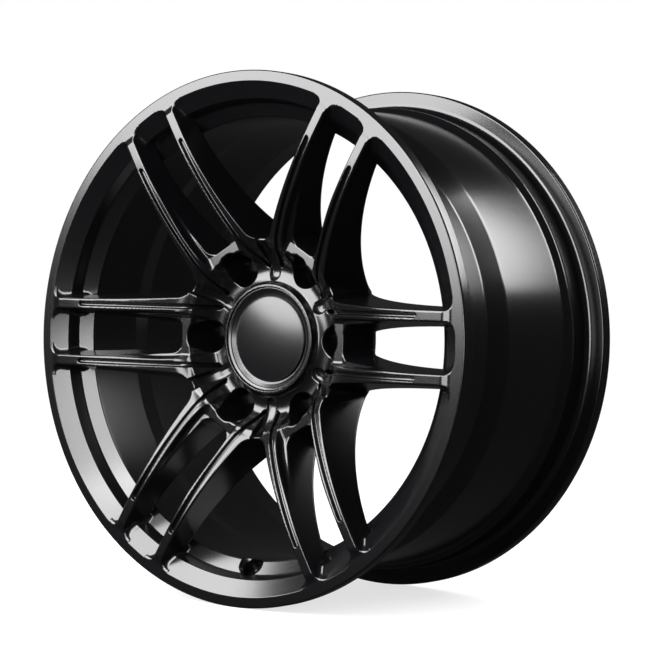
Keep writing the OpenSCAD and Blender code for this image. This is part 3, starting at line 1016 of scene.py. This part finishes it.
def build_tent():
    """A dark tent and a dark floor cloth that only reflections see, so that the paint mirrors
    the softboxes against black and the floor and backdrop stay white for the camera."""
    bpy.ops.object.select_all(action="DESELECT")
    bpy.ops.mesh.primitive_uv_sphere_add(segments=48, ring_count=24, radius=TENT_RADIUS)
    tent = bpy.context.object
    tent.name = "studio_tent"
    cloth = level_sheet("floor_cloth", CLOTH_HALF, RIM_LOW.z - 0.0001)
    for obj in (tent, cloth):
        obj.visible_camera = False
        obj.visible_diffuse = False
        obj.visible_shadow = False
        obj.data.materials.append(cloth_material())


def build_studio(scene):
    build_world(scene)
    floor = level_sheet("studio_floor", FLOOR_HALF, RIM_LOW.z - 0.0002)
    floor.data.materials.append(floor_material(scene))
    softbox("key_softbox", -27, 28, 1.7, (1.72, 1.72), 11.5, shape="ELLIPSE")
    softbox("front_softbox", 16, 19, 1.7, (0.50, 1.60), 11.0, lean=24)
    softbox("rear_softbox", 133, 35, 1.25, (0.58, 0.72), 9.0, lean=-26)
    build_tent()
    camera = bpy.data.objects.new("camera", bpy.data.cameras.new("camera"))
    scene.collection.objects.link(camera)
    camera.data.lens = CAMERA_LENS
    camera.data.sensor_width = 36
    camera.data.shift_x, camera.data.shift_y = CAMERA_SHIFT
    back = direction(CAMERA_AZIMUTH, CAMERA_ELEVATION)
    place_facing(camera, back * CAMERA_DISTANCE, back)
    camera.matrix_world = Matrix.Rotation(-math.radians(CAMERA_ROLL), 4, "Y") @ camera.matrix_world
    scene.camera = camera
    scene.view_settings.view_transform = "Standard"


# ---------------------------------------------------------------- operators and panel

class WHEEL_OT_rim_barrel(bpy.types.Operator):
    """Turns the rim from its section and drills the valve hole"""
    bl_idname = "wheel.rim_barrel"
    bl_label = "Rim Barrel"

    def execute(self, context):
        build_rim_barrel(context.scene)
        return {"FINISHED"}


class WHEEL_OT_spoke_pairs(bpy.types.Operator):
    """Models one pair of spokes from the forged face and copies it round the axle"""
    bl_idname = "wheel.spoke_pairs"
    bl_label = "Spoke Pairs"

    def execute(self, context):
        build_spoke_pairs(context.scene)
        return {"FINISHED"}


class WHEEL_OT_hub_centre(bpy.types.Operator):
    """Models the hub from the forged face, with its bores, lug pockets and channels"""
    bl_idname = "wheel.hub_centre"
    bl_label = "Hub"

    def execute(self, context):
        build_hub_centre(context.scene)
        return {"FINISHED"}


class WHEEL_OT_centre_cap(bpy.types.Operator):
    """Turns the cap's body and disc, and gives the pieces inside it their finish"""
    bl_idname = "wheel.centre_cap"
    bl_label = "Centre Cap"

    def execute(self, context):
        build_cap_body(context.scene)
        build_cap_face(context.scene)
        finish_cap_inside(context.scene)
        return {"FINISHED"}


class WHEEL_OT_studio(bpy.types.Operator):
    """Sets up the floor, the softboxes, the tent and the camera"""
    bl_idname = "wheel.studio"
    bl_label = "Studio"

    def execute(self, context):
        build_studio(context.scene)
        return {"FINISHED"}


OPERATORS = (
    WHEEL_OT_studio,
    WHEEL_OT_rim_barrel,
    WHEEL_OT_spoke_pairs,
    WHEEL_OT_hub_centre,
    WHEEL_OT_centre_cap,
)
SETTINGS = {
    "wheel_rim": WheelRimSizes,
    "wheel_spokes": WheelSpokeSizes,
    "wheel_hub": WheelHubSizes,
    "wheel_cap": WheelCapSizes,
    "wheel_colours": WheelColours,
}


class VIEW3D_PT_forged_wheel(bpy.types.Panel):
    """Builds the wheel's pieces and lists their sizes and colours"""
    bl_label = "Forged Wheel"
    bl_space_type = "VIEW_3D"
    bl_region_type = "UI"
    bl_category = "Wheel"

    def draw(self, context):
        column = self.layout.column()
        for operator in OPERATORS:
            column.operator(operator.bl_idname)
        for name, group in SETTINGS.items():
            settings = getattr(context.scene, name)
            for key in group.__annotations__:
                column.prop(settings, key)


CLASSES = (*SETTINGS.values(), *OPERATORS, VIEW3D_PT_forged_wheel)


def register():
    for cls in CLASSES:
        bpy.utils.register_class(cls)
    for name, group in SETTINGS.items():
        setattr(bpy.types.Scene, name, bpy.props.PointerProperty(type=group))


def unregister():
    for name in SETTINGS:
        delattr(bpy.types.Scene, name)
    for cls in reversed(CLASSES):
        bpy.utils.unregister_class(cls)


def main():
    register()
    bpy.ops.wheel.studio()
    bpy.ops.wheel.rim_barrel()
    bpy.ops.wheel.spoke_pairs()
    bpy.ops.wheel.hub_centre()
    bpy.ops.wheel.centre_cap()


if __name__ == "__main__":
    main()
